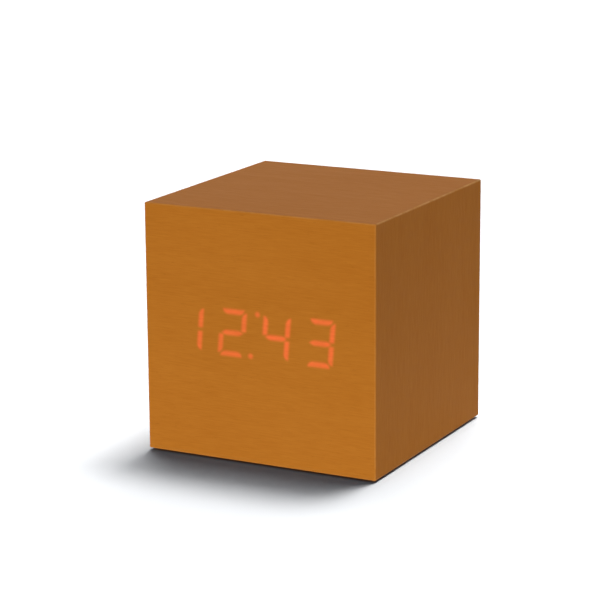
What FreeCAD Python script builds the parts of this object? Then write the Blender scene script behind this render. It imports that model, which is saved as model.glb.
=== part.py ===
import FreeCAD, Part
import math
import os
from FreeCAD import Vector

# Digital desk clock: a cube case of mitred fibreboard with a wood-effect skin. A four-digit LED
# display shines through the front skin, three buttons and a power socket sit in a plate on the rear,
# and a hinged door in the bottom covers three cells.
# Millimetres. The origin is at the centre of the footprint, on the surface that the pads stand on.
# The display faces -Y, and +X is on the right of somebody who reads the time.

# Case
case_width = 68.0
case_depth = 68.0
case_height = 68.0
skin_thick = 0.5
panel_core = 3.5
edge_round = 0.4
rear_inset = 0.8
rear_board_gap = 0.15
corner_block_size = 10.0
corner_block_length = 6.5

# Foot pads
pad_diameter = 8.0
pad_thick = 0.6
pad_inset = 7.0

# Screws, as head diameter, head height, shank diameter, length
rear_screw = (5.5, 1.6, 2.6, 9.0)
board_screw = (3.6, 1.3, 1.8, 5.0)
display_screw = (3.8, 1.3, 2.0, 8.6)
plate_screw = (3.0, 1.1, 1.6, 4.2)
box_screw = (4.0, 1.4, 2.2, 4.6)
screw_fit = 0.05

# Display
digit_pitch = 12.95
digit_slant = 4.9
column_spacing = 6.6
row_spacing = 5.75
segment_thick = 1.4
segment_gap = 0.4
segment_depth = 4.5
segment_fit = 0.05
colon_diameter = 1.7
colon_slant = 10.8
display_shift = -1.3
display_height = 35.1
reflector_height = 19.0
reflector_depth = 8.0
reflector_wall = 0.6
window_gap = 0.2
led_length = 1.6
led_width = 0.8
led_height = 0.6
display_board_gap = 1.0
display_board_height = 30.0
board_thick = 1.6
board_hole_inset = 2.6
standoff_diameter = 5.0

# Time that the display shows, as the lit segments of each digit, left to right
lit_digits = ("bc", "abdeg", "bcfg", "abcdg")

# Control plate, in the rear board
control_drop = 26.6
control_rise = 16.0
control_corner = 3.0
control_gap = 0.15
control_face = 1.6
control_wall = 1.6
flange_gap = 1.0
flange_lip = 3.5
flange_thick = 1.6
post_diameter = 4.4
post_length = 5.2
post_inset = 6.6

# Buttons and their switches
button_pitch = 8.0
button_diameter = 5.0
button_proud = 0.8
button_fit = 0.1
button_edge = 0.3
button_travel = 0.3
collar_diameter = 6.4
collar_thick = 1.0
collar_gap = 0.1
stem_diameter = 3.4
glyph_size = 1.3
glyph_depth = 0.2
switch_size = 6.0
switch_height = 3.5
plunger_diameter = 3.0
plunger_rise = 1.5
plunger_fit = 0.1
plunger_sink = 0.6

# Power socket, for a plug of 3.5 mm outside and 1.35 mm inside
socket_inset = 5.0
socket_base_width = 6.0
socket_base_rise = 7.0
socket_base_depth = 5.0
socket_nose_diameter = 6.0
socket_bore_diameter = 3.7
socket_bore_depth = 9.0
socket_below_face = 0.3
socket_hole_gap = 0.2
contact_pin_diameter = 1.3
contact_pin_below_mouth = 1.0

# Buzzer and microphone
buzzer_inset = 6.5
buzzer_diameter = 9.0
buzzer_height = 5.0
buzzer_mouth = 2.0
sound_hole_diameter = 1.2
sound_hole_ring = 4.8
microphone_drop = 5.2
microphone_diameter = 4.0
microphone_height = 2.2
microphone_hole = 1.5

# Main board and what is soldered on its front face
main_board_inset = 4.0
main_board_height = 23.0
chip_width = 10.0
chip_rise = 5.4
chip_height = 1.7
chip_lift = 0.15
chip_legs = 8
chip_leg_pitch = 1.27
chip_leg_width = 0.4
chip_leg_reach = 1.0
chip_leg_thick = 0.2
chip_x = -7.0
chip_drop = 3.0
crystal_diameter = 3.0
crystal_length = 8.0
crystal_x = -16.5
crystal_lift = 4.6
capacitor_diameter = 5.0
capacitor_height = 7.0
capacitor_x = 10.0
capacitor_drop = 4.0
solder_gap = 0.1

# Display cable
connector_width = 14.0
connector_rise = 4.0
connector_depth = 3.5
connector_lift = 5.0
cable_width = 12.0
cable_thick = 0.8
cable_lead = 6.5
cable_sag = 7.5

# Battery cells, alternately turned, side by side
cell_diameter = 10.5
cell_length = 44.5
cell_nub_diameter = 3.8
cell_nub_height = 1.0
cell_edge = 0.4
cell_pitch = 11.0
cell_gap = 0.3
cell_side_gap = 0.5

# Battery box
bay_wall = 1.5
rib_thick = 1.0
rib_above_axis = 2.2
box_rim = 2.0
box_gap = 0.1
lug_x = 12.0
lug_width = 7.0
lug_length = 6.0
lug_thick = 2.0

# Contacts and their springs
contact_thick = 0.4
contact_width = 9.0
contact_foot_gap = 0.6
tab_width = 3.0
tab_rise = 3.0
tab_gap = 0.2
spring_length = 4.4
spring_wire = 0.5
spring_turns = 4
spring_base_radius = 3.4
spring_tip_radius = 2.0
spring_seat_gap = 0.05
lead_diameter = 1.2
lead_solder_inset = 8.5
lead_solder_drop = 6.0
lead_run = 8.2
lead_bow = 1.5

# Battery door, its hinge pins and its latch
door_thick = 2.0
door_gap = 0.25
door_lap = 1.0
door_seat_gap = 0.1
hinge_pin_diameter = 1.2
hinge_pin_length = 1.2
hinge_fit = 0.08
hinge_pin_end_gap = 0.1
grip_grooves = 3
grip_groove_width = 0.8
grip_groove_pitch = 1.8
grip_groove_length = 12.0
grip_groove_depth = 0.3
grip_inset = 3.0
latch_width = 8.0
latch_side_gap = 0.3
latch_wall_gap = 0.35
latch_thick = 0.8
latch_slot = 1.2
latch_rise = 5.4
latch_head_gap = 0.5
nib_reach = 0.6
nib_lift = 2.4
nib_land = 0.3
nib_slope = 1.1
nib_gap = 0.1
nib_clearance = 0.3
latch_foot = 0.8
ledge_undercut = 0.7
undercut_rise = 2.2
latch_boss_wall = 1.4
scoop_reach = 1.3
scoop_rise = 1.2

# Planes of the case
case_bottom = pad_thick
case_top = case_bottom + case_height
case_side = case_width / 2
case_front = -case_depth / 2
case_back = case_depth / 2
core_bottom = case_bottom + skin_thick
core_top = case_top - skin_thick
core_side = case_side - skin_thick
core_front = case_front + skin_thick
core_back = case_back - skin_thick
inside_bottom = core_bottom + panel_core
inside_top = core_top - panel_core
inside_side = core_side - panel_core
inside_front = core_front + panel_core
rear_face = case_back - rear_inset
rear_core = rear_face - skin_thick
rear_inside = rear_core - panel_core

# Planes of the display
display_x = display_shift
display_z = case_bottom + display_height
slant_reach = row_spacing * math.tan(math.radians(digit_slant))
digits_width = (len(lit_digits) - 1) * digit_pitch + column_spacing + segment_thick + 2 * slant_reach
reflector_width = digits_width + 2 * reflector_wall
display_board_width = 2 * (inside_side - abs(display_x) - display_board_gap)
display_board_front = core_front + reflector_depth
display_board_back = display_board_front + board_thick
display_hole_x = display_board_width / 2 - board_hole_inset
display_hole_z = display_board_height / 2 - board_hole_inset

# Planes of the control plate and the main board
control_z = case_top - control_drop
flange_width = 2 * (inside_side - flange_gap)
flange_rise = control_rise + 2 * flange_lip
control_width = flange_width - 2 * flange_lip
control_back = rear_face - control_face
flange_front = rear_inside - flange_thick
main_board_back = flange_front - post_length
main_board_front = main_board_back - board_thick
main_board_width = flange_width - 2 * main_board_inset
post_x = flange_width / 2 - post_inset
post_z = flange_rise / 2 - post_diameter / 2
plate_screw_x = (control_width + flange_width) / 4
switch_top = main_board_back + switch_height
button_xs = (-button_pitch, 0.0, button_pitch)
socket_x = -control_width / 2 + socket_inset
buzzer_x = control_width / 2 - buzzer_inset
microphone_x = -button_pitch / 2
microphone_z = control_z - microphone_drop
cable_z = control_z + connector_lift
lead_solder_x = main_board_width / 2 - lead_solder_inset

# Planes of the battery compartment
door_top = case_bottom + door_thick
cell_radius = cell_diameter / 2
cell_z = door_top + cell_gap + cell_radius
cell_ys = (-cell_pitch, 0.0, cell_pitch)
bay_side = (cell_length + spring_length) / 2 + contact_thick
bay_end = cell_pitch + cell_radius + cell_side_gap
bay_top = cell_z + cell_radius + cell_gap
box_top = bay_top + bay_wall
hinge_y = -bay_end - bay_wall / 2
hinge_z = case_bottom + door_thick / 2
door_side = bay_side + door_lap
door_back = bay_end + door_lap
door_front = hinge_y - door_thick / 2
recess_side = door_side + door_gap
recess_front = door_front - door_gap
recess_back = door_back + door_gap
latch_y = bay_end + bay_wall + latch_wall_gap
latch_outer = latch_y + 2 * latch_thick + latch_slot
latch_top = case_bottom + latch_rise + latch_slot / 2 + latch_thick
ledge_y = latch_outer + nib_reach + nib_clearance
nib_z = case_bottom + nib_lift
boss_back = ledge_y + ledge_undercut + latch_boss_wall
boss_side = latch_width / 2 + latch_side_gap + latch_boss_wall
boss_top = latch_top + latch_head_gap + latch_boss_wall
lug_front = recess_front - box_rim
lug_back = recess_back + box_rim


# Ways that screws point
forwards = Vector(0, -1, 0)
backwards = Vector(0, 1, 0)
downwards = Vector(0, 0, -1)


# Shapes that several pieces use


def block(x0, x1, y0, y1, z0, z1):
    """Box between two planes on each axis."""
    return Part.makeBox(x1 - x0, y1 - y0, z1 - z0, Vector(x0, y0, z0))


def plate(x, z, width, rise, y0, y1):
    """Upright rectangular plate centred on x and z, from y0 back to y1."""
    return block(x - width / 2, x + width / 2, y0, y1, z - rise / 2, z + rise / 2)


def rounded_plate(x, z, width, rise, corner, y0, y1):
    """The same plate with its four corners rounded."""
    solid = plate(x, z, width, rise, y0, y1)
    corners = [e for e in solid.Edges if abs(e.tangentAt(e.FirstParameter).y) > 0.9]
    return solid.makeFillet(corner, corners)


def rod_y(x, z, diameter, y0, y1):
    """Round rod along Y."""
    return Part.makeCylinder(diameter / 2, y1 - y0, Vector(x, y0, z), Vector(0, 1, 0))


def rod_x(y, z, diameter, x0, x1):
    """Round rod along X."""
    return Part.makeCylinder(diameter / 2, x1 - x0, Vector(x0, y, z), Vector(1, 0, 0))


def prism(points, direction):
    """Flat outline through the points, pushed along a direction."""
    outline = Part.makePolygon(points + points[:1])
    return Part.Face(outline).extrude(direction)


def join(shapes):
    """One solid out of shapes that touch or overlap."""
    return shapes[0].multiFuse(shapes[1:]).removeSplitter()


def mirrored_spots(x, z):
    """The four places at plus and minus x and z."""
    return [(sx * x, sz * z) for sx in (-1, 1) for sz in (-1, 1)]


def screw(seat, along, size, countersunk=False):
    """Cross-head screw: seat is the middle of the face that the head bears on."""
    head_diameter, head_height, shank_diameter, length = size
    radius = shank_diameter / 2
    point = radius * 1.2
    shank = Part.makeCylinder(radius, length - point, seat, along)
    tip = Part.makeCone(radius, 0.2, point, seat + along * (length - point), along)
    if countersunk:
        top = seat
        head = Part.makeCone(head_diameter / 2, radius, head_height, seat, along)
    else:
        top = seat - along * head_height
        head = Part.makeCylinder(head_diameter / 2, head_height, top, along)
        rim = [e for e in head.Edges if near_plane(e, top, along)]
        head = head.makeFillet(head_height * 0.4, rim)
    solid = join([shank, tip, head])
    for turn in (0, 90):
        solid = solid.cut(cross_slot(top, along, head_diameter, head_height, turn))
    return solid


def near_plane(edge, point, normal):
    """True for an edge that lies in the plane through the point."""
    return all(abs((v.Point - point).dot(normal)) < 1e-6 for v in edge.Vertexes)


def cross_slot(top, along, head_diameter, head_height, turn):
    """One arm of the cross recess in a screw's head."""
    arm = Part.makeBox(
        head_diameter * 0.56,
        head_diameter * 0.13,
        head_height * 0.6,
        Vector(-head_diameter * 0.28, -head_diameter * 0.065, 0),
    )
    arm.rotate(Vector(0, 0, 0), Vector(0, 0, 1), turn)
    facing = FreeCAD.Placement(top, FreeCAD.Rotation(Vector(0, 0, 1), along))
    arm.Placement = facing.multiply(arm.Placement)
    return arm


def screw_group(seats, along, size, countersunk=False):
    """One screw at every seat."""
    return Part.makeCompound([screw(seat, along, size, countersunk) for seat in seats])


def screw_hole(seat, along, size):
    """Space for a screw's shank and its point."""
    return Part.makeCylinder(size[2] / 2 + screw_fit, size[3] + screw_fit, seat, along)


def screw_holes(seats, along, size):
    return [screw_hole(seat, along, size) for seat in seats]


def rounded_route(points):
    """Straight runs joined by tangent arcs, each as large as its two runs allow."""
    edges = []
    radii = []
    start = points[0]
    for before, corner, after in zip(points, points[1:], points[2:]):
        come = (corner - before).normalize()
        go = (after - corner).normalize()
        turn = come.getAngle(go)
        cut_back = 0.45 * min((corner - before).Length, (after - corner).Length)
        arc_in = corner - come * cut_back
        arc_out = corner + go * cut_back
        inward = (go - come).normalize()
        radius = cut_back / math.tan(turn / 2)
        middle = corner + inward * (radius / math.cos(turn / 2) - radius)
        edges.append(Part.LineSegment(start, arc_in).toShape())
        edges.append(Part.Arc(arc_in, middle, arc_out).toShape())
        radii.append(round(radius, 1))
        start = arc_out
    edges.append(Part.LineSegment(start, points[-1]).toShape())
    return Part.Wire(edges), radii


def tube(points, diameter, label):
    """Round lead along a route."""
    route, radii = rounded_route(points)
    along = (points[1] - points[0]).normalize()
    ring = Part.Wire(Part.makeCircle(diameter / 2, points[0], along))
    solid = route.makePipeShell([ring], True, False)
    report_route(label, radii, solid.Volume / (math.pi * diameter ** 2 / 4 * route.Length))
    return solid


def report_route(label, radii, share):
    """Bend radii of a lead or cable, and its volume over its section times its length."""
    print(label, "radii", radii, "volume share", round(share, 3))


# Case


def rounded_case():
    """Outer shape of the whole case."""
    solid = block(-case_side, case_side, case_front, case_back, case_bottom, case_top)
    return solid.makeFillet(edge_round, solid.Edges)


def front_wedge():
    """Space of the front skin, mitred all round to meet the skin of the sides."""
    outer = case_outline(case_front, 0)
    inner = case_outline(core_front, skin_thick)
    return Part.makeLoft([outer, inner], True, True)


def case_outline(y, inset):
    """Rectangle of the case's front, drawn in by the inset."""
    left = -case_side + inset
    low = case_bottom + inset
    high = case_top - inset
    corners = [Vector(x, y, z) for x, z in ((left, low), (-left, low), (-left, high), (left, high))]
    return Part.makePolygon(corners + corners[:1])


def battery_cutout(gap):
    """Opening in the bottom for the battery box and the boss of its latch."""
    frame = block(
        -recess_side - box_rim - gap,
        recess_side + box_rim + gap,
        recess_front - box_rim - gap,
        recess_back + box_rim + gap,
        case_bottom,
        inside_bottom,
    )
    half = boss_side + gap
    boss = block(-half, half, recess_back, boss_back + gap, case_bottom, inside_bottom)
    return join([frame, boss])


def front_skin():
    return rounded_case().common(front_wedge())


def wrap_skin():
    """Skin round the four sides, turned in over the rear rim."""
    core = block(-core_side, core_side, core_front, core_back, core_bottom, core_top)
    mouth = block(-inside_side, inside_side, core_back, case_back, inside_bottom, inside_top)
    return rounded_case().cut([front_wedge(), core, mouth, battery_cutout(box_gap)])


def side_panel(corners):
    """Panel from front to rear, mitred where it meets the next two and clear of the battery box."""
    along = Vector(0, core_back - inside_front, 0)
    solid = prism([Vector(x, inside_front, z) for x, z in corners], along)
    return solid.common(rounded_case()).cut(battery_cutout(box_gap))


def top_panel():
    return side_panel([
        (-core_side, core_top),
        (core_side, core_top),
        (inside_side, inside_top),
        (-inside_side, inside_top),
    ])


def bottom_panel():
    panel = side_panel([
        (-core_side, core_bottom),
        (core_side, core_bottom),
        (inside_side, inside_bottom),
        (-inside_side, inside_bottom),
    ])
    return panel.cut(screw_holes(box_screw_seats(), downwards, box_screw))


def left_panel():
    return side_panel([
        (-core_side, core_bottom),
        (-core_side, core_top),
        (-inside_side, inside_top),
        (-inside_side, inside_bottom),
    ])


def right_panel():
    return side_panel([
        (core_side, core_bottom),
        (core_side, core_top),
        (inside_side, inside_top),
        (inside_side, inside_bottom),
    ])


def front_panel():
    """Front board behind the skin, with the window for the display."""
    panel = block(-core_side, core_side, core_front, inside_front, core_bottom, core_top)
    window = plate(
        display_x,
        display_z,
        reflector_width + 2 * window_gap,
        reflector_height + 2 * window_gap,
        core_front,
        inside_front,
    )
    holes = screw_holes(display_screw_seats(), forwards, display_screw)
    return panel.common(rounded_case()).cut([window] + holes)


def rear_board_slab(y0, y1):
    """The rear board's outline between two depths, with its holes."""
    side = inside_side - rear_board_gap
    low = inside_bottom + rear_board_gap
    high = inside_top - rear_board_gap
    slab = block(-side, side, y0, y1, low, high)
    opening = rounded_plate(
        0,
        control_z,
        control_width + 2 * control_gap,
        control_rise + 2 * control_gap,
        control_corner + control_gap,
        rear_inside,
        rear_face,
    )
    sinks = [rear_screw_space(seat) for seat in rear_screw_seats()]
    pilots = screw_holes(plate_screw_seats(), backwards, plate_screw)
    return slab.cut([opening] + sinks + pilots)


def rear_board():
    return rear_board_slab(rear_inside, rear_core)


def rear_skin():
    return rear_board_slab(rear_core, rear_face)


def rear_screw_seats():
    """Heads of the four rear screws, one in front of the middle of each corner block."""
    x = inside_side - corner_block_size / 2
    low = inside_bottom + corner_block_size / 2
    high = inside_top - corner_block_size / 2
    return [Vector(sx * x, rear_face, z) for sx in (-1, 1) for z in (low, high)]


def rear_screw_space(seat):
    """Countersink and shank hole of a rear screw."""
    head_diameter, head_height, shank_diameter, length = rear_screw
    wide = head_diameter / 2 + screw_fit
    sink = Part.makeCone(wide, shank_diameter / 2 + screw_fit, head_height, seat, forwards)
    return join([sink, screw_hole(seat, forwards, rear_screw)])


def corner_blocks():
    """Glue blocks in the four rear corners of the case."""
    blocks = []
    for seat in rear_screw_seats():
        solid = plate(
            seat.x,
            seat.z,
            corner_block_size,
            corner_block_size,
            rear_inside - corner_block_length,
            rear_inside,
        )
        blocks.append(solid.cut(screw_hole(seat, forwards, rear_screw)))
    return Part.makeCompound(blocks)


def foot_pads():
    x = case_side - pad_inset
    y = case_back - pad_inset
    centres = [Vector(px, py, 0) for px, py in mirrored_spots(x, y)]
    return Part.makeCompound([Part.makeCylinder(pad_diameter / 2, pad_thick, at) for at in centres])


# Display


def digit_centres():
    """Middle of each digit along X, left to right."""
    middle = (len(lit_digits) - 1) / 2
    return [display_x + (place - middle) * digit_pitch for place in range(len(lit_digits))]


def segment_place(letter):
    """A segment's middle in columns and rows from the digit's middle, and whether it is upright."""
    places = {
        "a": (0, 1, False),
        "b": (0.5, 0.5, True),
        "c": (0.5, -0.5, True),
        "d": (0, -1, False),
        "e": (-0.5, -0.5, True),
        "f": (-0.5, 0.5, True),
        "g": (0, 0, False),
    }
    return places[letter]


def slanted(x, z, centre, slant=digit_slant):
    """A point of an upright digit, leaned to the right about the middle of the display."""
    return centre + x + z * math.tan(math.radians(slant)), display_z + z


def segment_outline(letter, wider):
    """Corners of one segment from the middle of an upright digit, each side moved out a little.

    The outer bars meet at mitres, and the middle bar has pointed ends between the upright ones.
    """
    thick = segment_thick + 2 * wider
    half = thick / 2
    cut = (segment_gap / 2 - wider) * math.sqrt(2)
    column = column_spacing / 2
    side = column + half
    top = row_spacing + half
    level = [
        (cut - side, top),
        (side - cut, top),
        (side - cut - thick, top - thick),
        (cut - side + thick, top - thick),
    ]
    upright = [
        (side, top - cut),
        (side, half + cut),
        (column, cut),
        (side - thick, half + cut),
        (side - thick, top - thick - cut),
    ]
    middle = [
        (cut - column, 0),
        (cut - column + half, half),
        (column - cut - half, half),
        (column - cut, 0),
        (column - cut - half, -half),
        (cut - column + half, -half),
    ]
    outline, flip_x, flip_z = {
        "a": (level, 1, 1),
        "b": (upright, 1, 1),
        "c": (upright, 1, -1),
        "d": (level, 1, -1),
        "e": (upright, -1, -1),
        "f": (upright, -1, 1),
        "g": (middle, 1, 1),
    }[letter]
    return [(flip_x * x, flip_z * z) for x, z in outline]


def segment_bar(centre, letter, wider, y0, y1):
    """Bar of one segment between two depths."""
    corners = [slanted(x, z, centre) for x, z in segment_outline(letter, wider)]
    return prism([Vector(px, y0, pz) for px, pz in corners], Vector(0, y1 - y0, 0))


def all_segments():
    """Every segment as the middle of its digit, its letter and whether it is lit."""
    return [
        (centre, letter, letter in lit)
        for centre, lit in zip(digit_centres(), lit_digits)
        for letter in "abcdefg"
    ]


def colon_spots():
    """The two dots of the colon, level with the top and bottom bars and leaned further than them."""
    return [slanted(0, row * row_spacing, display_x, colon_slant) for row in (-1, 1)]


def display_reflector():
    """White moulding with a light well behind every segment and dot."""
    y0 = core_front
    y1 = display_board_front
    body = plate(display_x, display_z, reflector_width, reflector_height, y0, y1)
    wells = [segment_bar(centre, letter, segment_fit, y0, y1) for centre, letter, lit in all_segments()]
    dots = [rod_y(x, z, colon_diameter + 2 * segment_fit, y0, y1) for x, z in colon_spots()]
    return body.cut(wells + dots)


def segment_group(wanted):
    """Diffusers of the segments that are lit, or of those that are dark."""
    y1 = core_front + segment_depth
    places = [(centre, letter) for centre, letter, lit in all_segments() if lit == wanted]
    bars = [segment_bar(centre, letter, 0, core_front, y1) for centre, letter in places]
    return Part.makeCompound(bars)


def colon_lenses():
    y1 = core_front + segment_depth
    return Part.makeCompound([rod_y(x, z, colon_diameter, core_front, y1) for x, z in colon_spots()])


def segment_leds():
    """One small lamp on the board behind every segment and dot."""
    y1 = display_board_front
    y0 = y1 - led_height
    chips = []
    for centre, letter, lit in all_segments():
        column, row, upright = segment_place(letter)
        x, z = slanted(column * column_spacing, row * row_spacing, centre)
        width, rise = (led_width, led_length) if upright else (led_length, led_width)
        chips.append(plate(x, z, width, rise, y0, y1))
    for x, z in colon_spots():
        chips.append(plate(x, z, led_width, led_width, y0, y1))
    return Part.makeCompound(chips)


def display_screw_seats():
    return [
        Vector(display_x + x, display_board_back, display_z + z)
        for x, z in mirrored_spots(display_hole_x, display_hole_z)
    ]


def display_board():
    board = plate(
        display_x,
        display_z,
        display_board_width,
        display_board_height,
        display_board_front,
        display_board_back,
    )
    return board.cut(screw_holes(display_screw_seats(), forwards, display_screw))


def display_standoffs():
    """Spacer tubes between the front board and the display board."""
    tubes = []
    for seat in display_screw_seats():
        outer = rod_y(seat.x, seat.z, standoff_diameter, inside_front, display_board_front)
        tubes.append(outer.cut(screw_hole(seat, forwards, display_screw)))
    return Part.makeCompound(tubes)


# Control plate, buttons and switches


def plate_screw_seats():
    return [Vector(side * plate_screw_x, flange_front, control_z) for side in (-1, 1)]


def post_spots():
    return [(x, control_z + z) for x, z in mirrored_spots(post_x, post_z)]


def board_screw_seats():
    return [Vector(x, main_board_front, z) for x, z in post_spots()]


def sound_hole_spots():
    """One hole over the middle of the buzzer and six round it."""
    ring = sound_hole_ring / 2
    turns = [math.radians(60 * step) for step in range(6)]
    around = [(buzzer_x + ring * math.cos(a), control_z + ring * math.sin(a)) for a in turns]
    return [(buzzer_x, control_z)] + around


def control_plate():
    """Black plate in the rear board, with a flange and four posts for the main board."""
    corner = control_corner
    face = rounded_plate(0, control_z, control_width, control_rise, corner, rear_inside, rear_face)
    flange = rounded_plate(0, control_z, flange_width, flange_rise, corner, flange_front, rear_inside)
    posts = [rod_y(x, z, post_diameter, main_board_back, flange_front) for x, z in post_spots()]
    body = join([face, flange] + posts)
    hollow = plate(
        0,
        control_z,
        control_width - 2 * control_wall,
        control_rise - 2 * control_wall,
        flange_front,
        control_back,
    )
    guide_bore = button_diameter + 2 * button_fit
    guides = [rod_y(x, control_z, guide_bore, control_back, rear_face) for x in button_xs]
    socket_bore = socket_nose_diameter + 2 * socket_hole_gap
    socket_hole = rod_y(socket_x, control_z, socket_bore, flange_front, rear_face)
    sound_holes = [
        rod_y(x, z, sound_hole_diameter, control_back, rear_face) for x, z in sound_hole_spots()
    ]
    ear = rod_y(microphone_x, microphone_z, microphone_hole, control_back, rear_face)
    pilots = screw_holes(board_screw_seats(), backwards, board_screw)
    through = screw_holes(plate_screw_seats(), backwards, plate_screw)
    return body.cut([hollow] + guides + [socket_hole] + sound_holes + [ear] + pilots + through)


def dot_glyph(x, y0, y1):
    return rod_y(x, control_z, glyph_size, y0, y1)


def arrow_glyph(x, y0, y1, up):
    """Small triangle that points up or down."""
    corners = []
    for step in range(3):
        angle = math.radians(90 + 120 * step)
        corners.append(Vector(
            x + glyph_size * math.cos(angle),
            y0,
            control_z + up * glyph_size * math.sin(angle),
        ))
    return prism(corners, Vector(0, y1 - y0, 0))


def button(x, glyph):
    """Key cap with a collar behind the plate and a stem down to the switch."""
    tip = rear_face + button_proud
    collar_back = control_back - collar_gap
    collar_front = collar_back - collar_thick
    cap = rod_y(x, control_z, button_diameter, collar_front, tip)
    rim = [e for e in cap.Edges if near_plane(e, Vector(x, tip, 0), backwards)]
    cap = cap.makeFillet(button_edge, rim)
    collar = rod_y(x, control_z, collar_diameter, collar_front, collar_back)
    stem = rod_y(x, control_z, stem_diameter, switch_top + plunger_rise, collar_front)
    return join([cap, collar, stem]).cut(glyph)


def set_button():
    tip = rear_face + button_proud
    return button(button_xs[1], dot_glyph(button_xs[1], tip - glyph_depth, tip))


def up_button():
    tip = rear_face + button_proud
    return button(button_xs[0], arrow_glyph(button_xs[0], tip - glyph_depth, tip, 1))


def down_button():
    tip = rear_face + button_proud
    return button(button_xs[2], arrow_glyph(button_xs[2], tip - glyph_depth, tip, -1))


def switch_plunger(x):
    """Moving plunger of a switch, sunk into its body with room for the travel."""
    return rod_y(x, control_z, plunger_diameter, switch_top - plunger_sink, switch_top + plunger_rise)


def switch_bodies():
    bodies = []
    for x in button_xs:
        body = plate(x, control_z, switch_size, switch_size, main_board_back, switch_top)
        well_floor = switch_top - plunger_sink - button_travel - plunger_fit
        well = rod_y(x, control_z, plunger_diameter + 2 * plunger_fit, well_floor, switch_top)
        bodies.append(body.cut(well))
    return Part.makeCompound(bodies)


def power_socket():
    """Barrel socket that stands on the main board, with its nose in the plate."""
    base_back = main_board_back + socket_base_depth
    mouth = rear_face - socket_below_face
    base = plate(socket_x, control_z, socket_base_width, socket_base_rise, main_board_back, base_back)
    nose = rod_y(socket_x, control_z, socket_nose_diameter, base_back, mouth)
    bore = rod_y(socket_x, control_z, socket_bore_diameter, mouth - socket_bore_depth, mouth)
    return join([base, nose]).cut(bore)


def socket_contact_pin():
    mouth = rear_face - socket_below_face
    return rod_y(
        socket_x,
        control_z,
        contact_pin_diameter,
        mouth - socket_bore_depth,
        mouth - contact_pin_below_mouth,
    )


def alarm_buzzer():
    back = main_board_back + buzzer_height
    can = rod_y(buzzer_x, control_z, buzzer_diameter, main_board_back, back)
    return can.cut(rod_y(buzzer_x, control_z, buzzer_mouth, back - buzzer_mouth, back))


def clap_microphone():
    back = main_board_back + microphone_height
    can = rod_y(microphone_x, microphone_z, microphone_diameter, main_board_back, back)
    dimple = rod_y(microphone_x, microphone_z, microphone_hole, back - microphone_hole / 3, back)
    return can.cut(dimple)


def main_board():
    board = plate(0, control_z, main_board_width, main_board_height, main_board_front, main_board_back)
    return board.cut(screw_holes(board_screw_seats(), backwards, board_screw))


def clock_chip():
    """Flat black chip with a row of bent legs above and below it."""
    z = control_z - chip_drop
    back = main_board_front - chip_lift
    front = back - chip_height
    middle = (front + back) / 2
    shapes = [plate(chip_x, z, chip_width, chip_rise, front, back)]
    for number in range(chip_legs):
        x = chip_x + (number - (chip_legs - 1) / 2) * chip_leg_pitch
        for side in (-1, 1):
            edge = z + side * chip_rise / 2
            knee = edge + side * chip_leg_reach / 2
            toe = edge + side * chip_leg_reach
            profile = [
                (edge, middle),
                (knee + side * chip_leg_thick, middle),
                (knee + side * chip_leg_thick, main_board_front - chip_leg_thick),
                (toe, main_board_front - chip_leg_thick),
                (toe, main_board_front),
                (knee, main_board_front),
                (knee, middle + chip_leg_thick),
                (edge, middle + chip_leg_thick),
            ]
            leg = [Vector(x - chip_leg_width / 2, py, pz) for pz, py in profile]
            shapes.append(prism(leg, Vector(chip_leg_width, 0, 0)))
    return join(shapes)


def quartz_crystal():
    """Small round can that lies along the board."""
    radius = crystal_diameter / 2
    low = control_z + crystal_lift - crystal_length / 2
    start = Vector(crystal_x, main_board_front - solder_gap - radius, low)
    can = Part.makeCylinder(radius, crystal_length, start)
    return can.makeFillet(radius / 5, [can.Edges[0], can.Edges[2]])


def supply_capacitor():
    """Upright can with a groove round its foot."""
    z = control_z - capacitor_drop
    can = rod_y(capacitor_x, z, capacitor_diameter, main_board_front - capacitor_height, main_board_front)
    groove_y = main_board_front - capacitor_height / 6
    groove = Part.makeTorus(
        capacitor_diameter / 2 + capacitor_diameter / 20,
        capacitor_diameter / 10,
        Vector(capacitor_x, groove_y, z),
        Vector(0, 1, 0),
    )
    return can.cut(groove)


# Display cable


def ribbon_connectors():
    """One connector behind the display board, one on the front of the main board."""
    display_end = plate(
        display_x,
        display_z,
        connector_width,
        connector_rise,
        display_board_back,
        display_board_back + connector_depth,
    )
    main_end = plate(
        display_x,
        cable_z,
        connector_width,
        connector_rise,
        main_board_front - connector_depth,
        main_board_front,
    )
    return Part.makeCompound([display_end, main_end])


def display_cable():
    """Flat cable that sags between the two connectors."""
    start = display_board_back + connector_depth
    end = main_board_front - connector_depth
    leave = Vector(display_x, start + cable_lead, display_z)
    enter = Vector(display_x, end - cable_lead, cable_z)
    sag = Vector(0, 0, cable_sag)
    route, radii = rounded_route([
        Vector(display_x, start, display_z),
        leave,
        leave * (2 / 3) + enter * (1 / 3) - sag,
        leave * (1 / 3) + enter * (2 / 3) - sag,
        enter,
        Vector(display_x, end, cable_z),
    ])
    left = display_x - cable_width / 2
    right = display_x + cable_width / 2
    low = display_z - cable_thick / 2
    high = display_z + cable_thick / 2
    corners = [Vector(x, start, z) for x, z in ((left, low), (right, low), (right, high), (left, high))]
    solid = route.makePipeShell([Part.makePolygon(corners + corners[:1])], True, False)
    report_route("display_cable", radii, solid.Volume / (cable_width * cable_thick * route.Length))
    return solid


# Battery compartment


def box_screw_seats():
    front = lug_front - lug_length / 2
    back = lug_back + lug_length / 2
    return [Vector(x, y, inside_bottom + lug_thick) for x in (-lug_x, lug_x) for y in (front, back)]


def box_lugs():
    """Four ears of the box that rest on the bottom panel's inner face."""
    reaches = ((lug_front - lug_length, -bay_end), (bay_end, lug_back + lug_length))
    return [
        block(x - lug_width / 2, x + lug_width / 2, y0, y1, inside_bottom, inside_bottom + lug_thick)
        for x in (-lug_x, lug_x)
        for y0, y1 in reaches
    ]


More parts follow.
